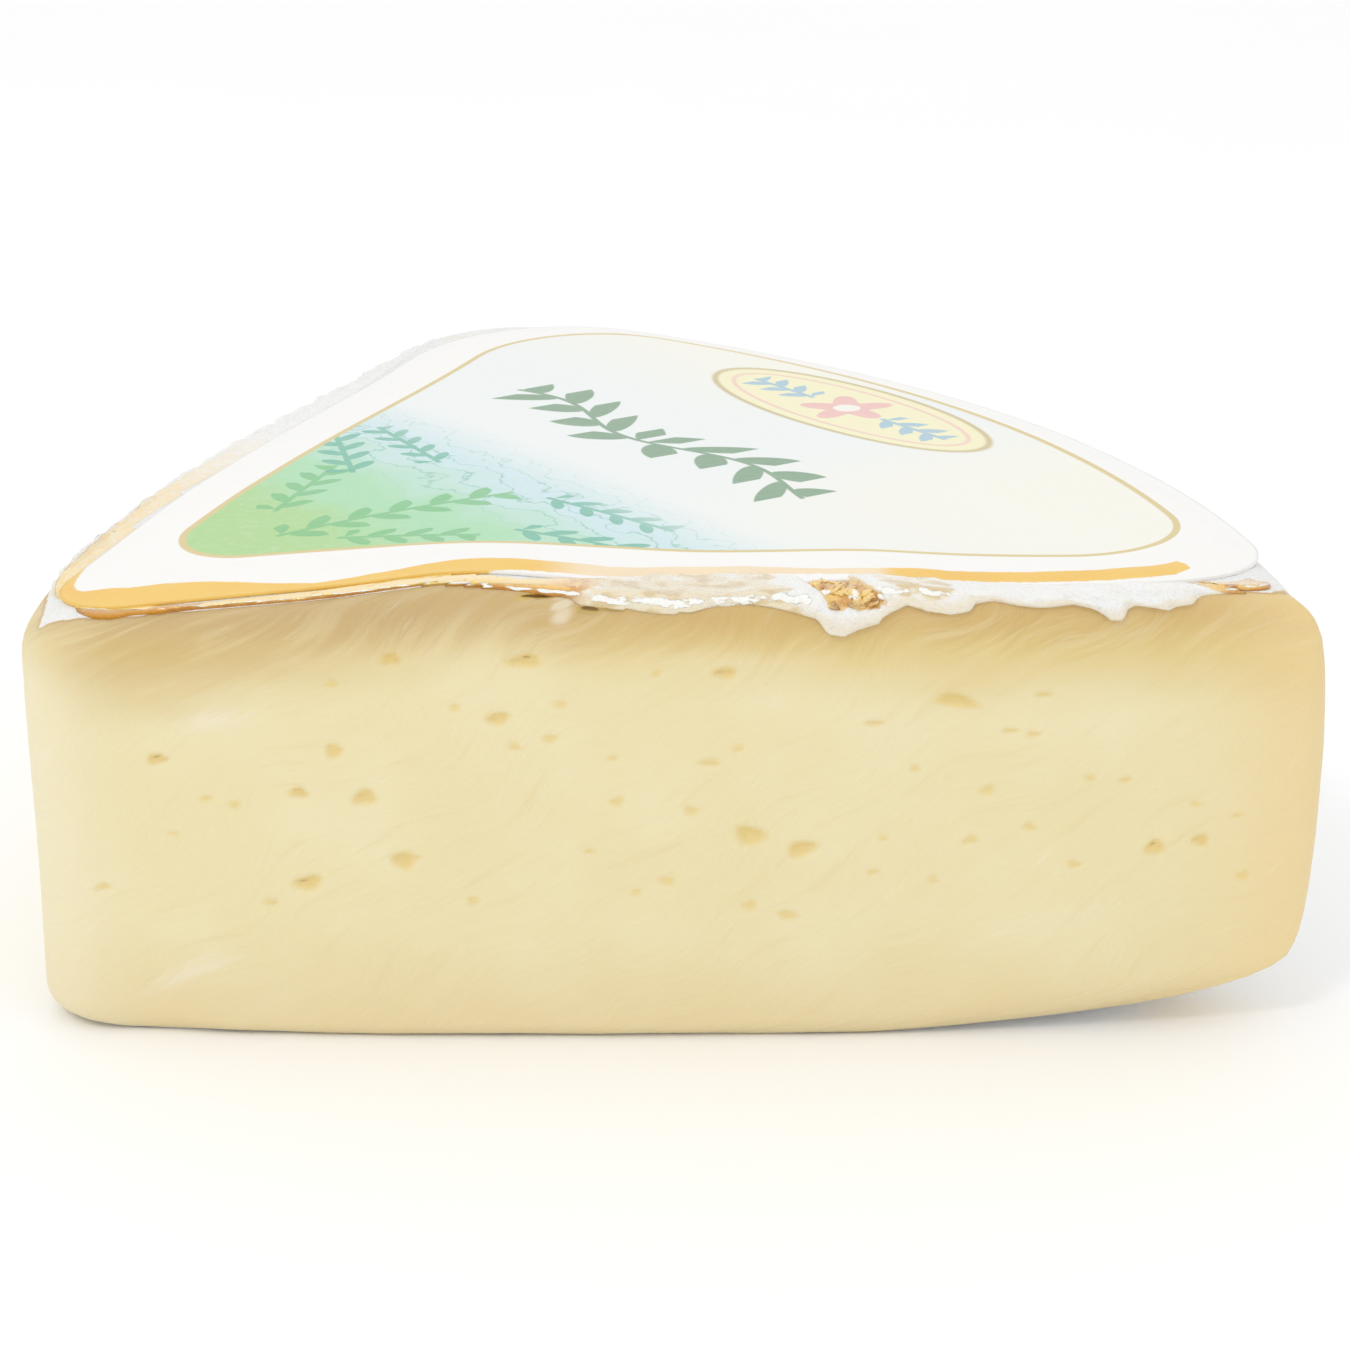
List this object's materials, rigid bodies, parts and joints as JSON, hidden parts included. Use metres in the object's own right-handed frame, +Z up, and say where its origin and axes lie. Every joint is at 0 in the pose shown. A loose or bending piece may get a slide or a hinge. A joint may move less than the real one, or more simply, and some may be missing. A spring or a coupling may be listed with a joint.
{
  "type": "brie cheese wedge with paper label",
  "caption": "Wedge cut from a soft-ripened cheese wheel: pale paste with small eyes, ragged white rind and a paper label on top.",
  "frame": {"origin": "bottom centre of the wedge's own box, on the surface it rests on", "axes": "+Z up through the thickness; the front cut faces -Y; the wheel's centre is at -X and its rim at +X"},
  "size_m": [0.0956, 0.0922, 0.0362],
  "materials": {
    "cheese": "moist pale yellow paste on the cuts, powdery white rind on the top, rim and underside",
    "label": "smooth coated paper, white with a pale printed field"
  },
  "bodies": {
    "root": {"cheese_wedge": "cheese", "paper_label": "label"}
  },
  "joints": []
}
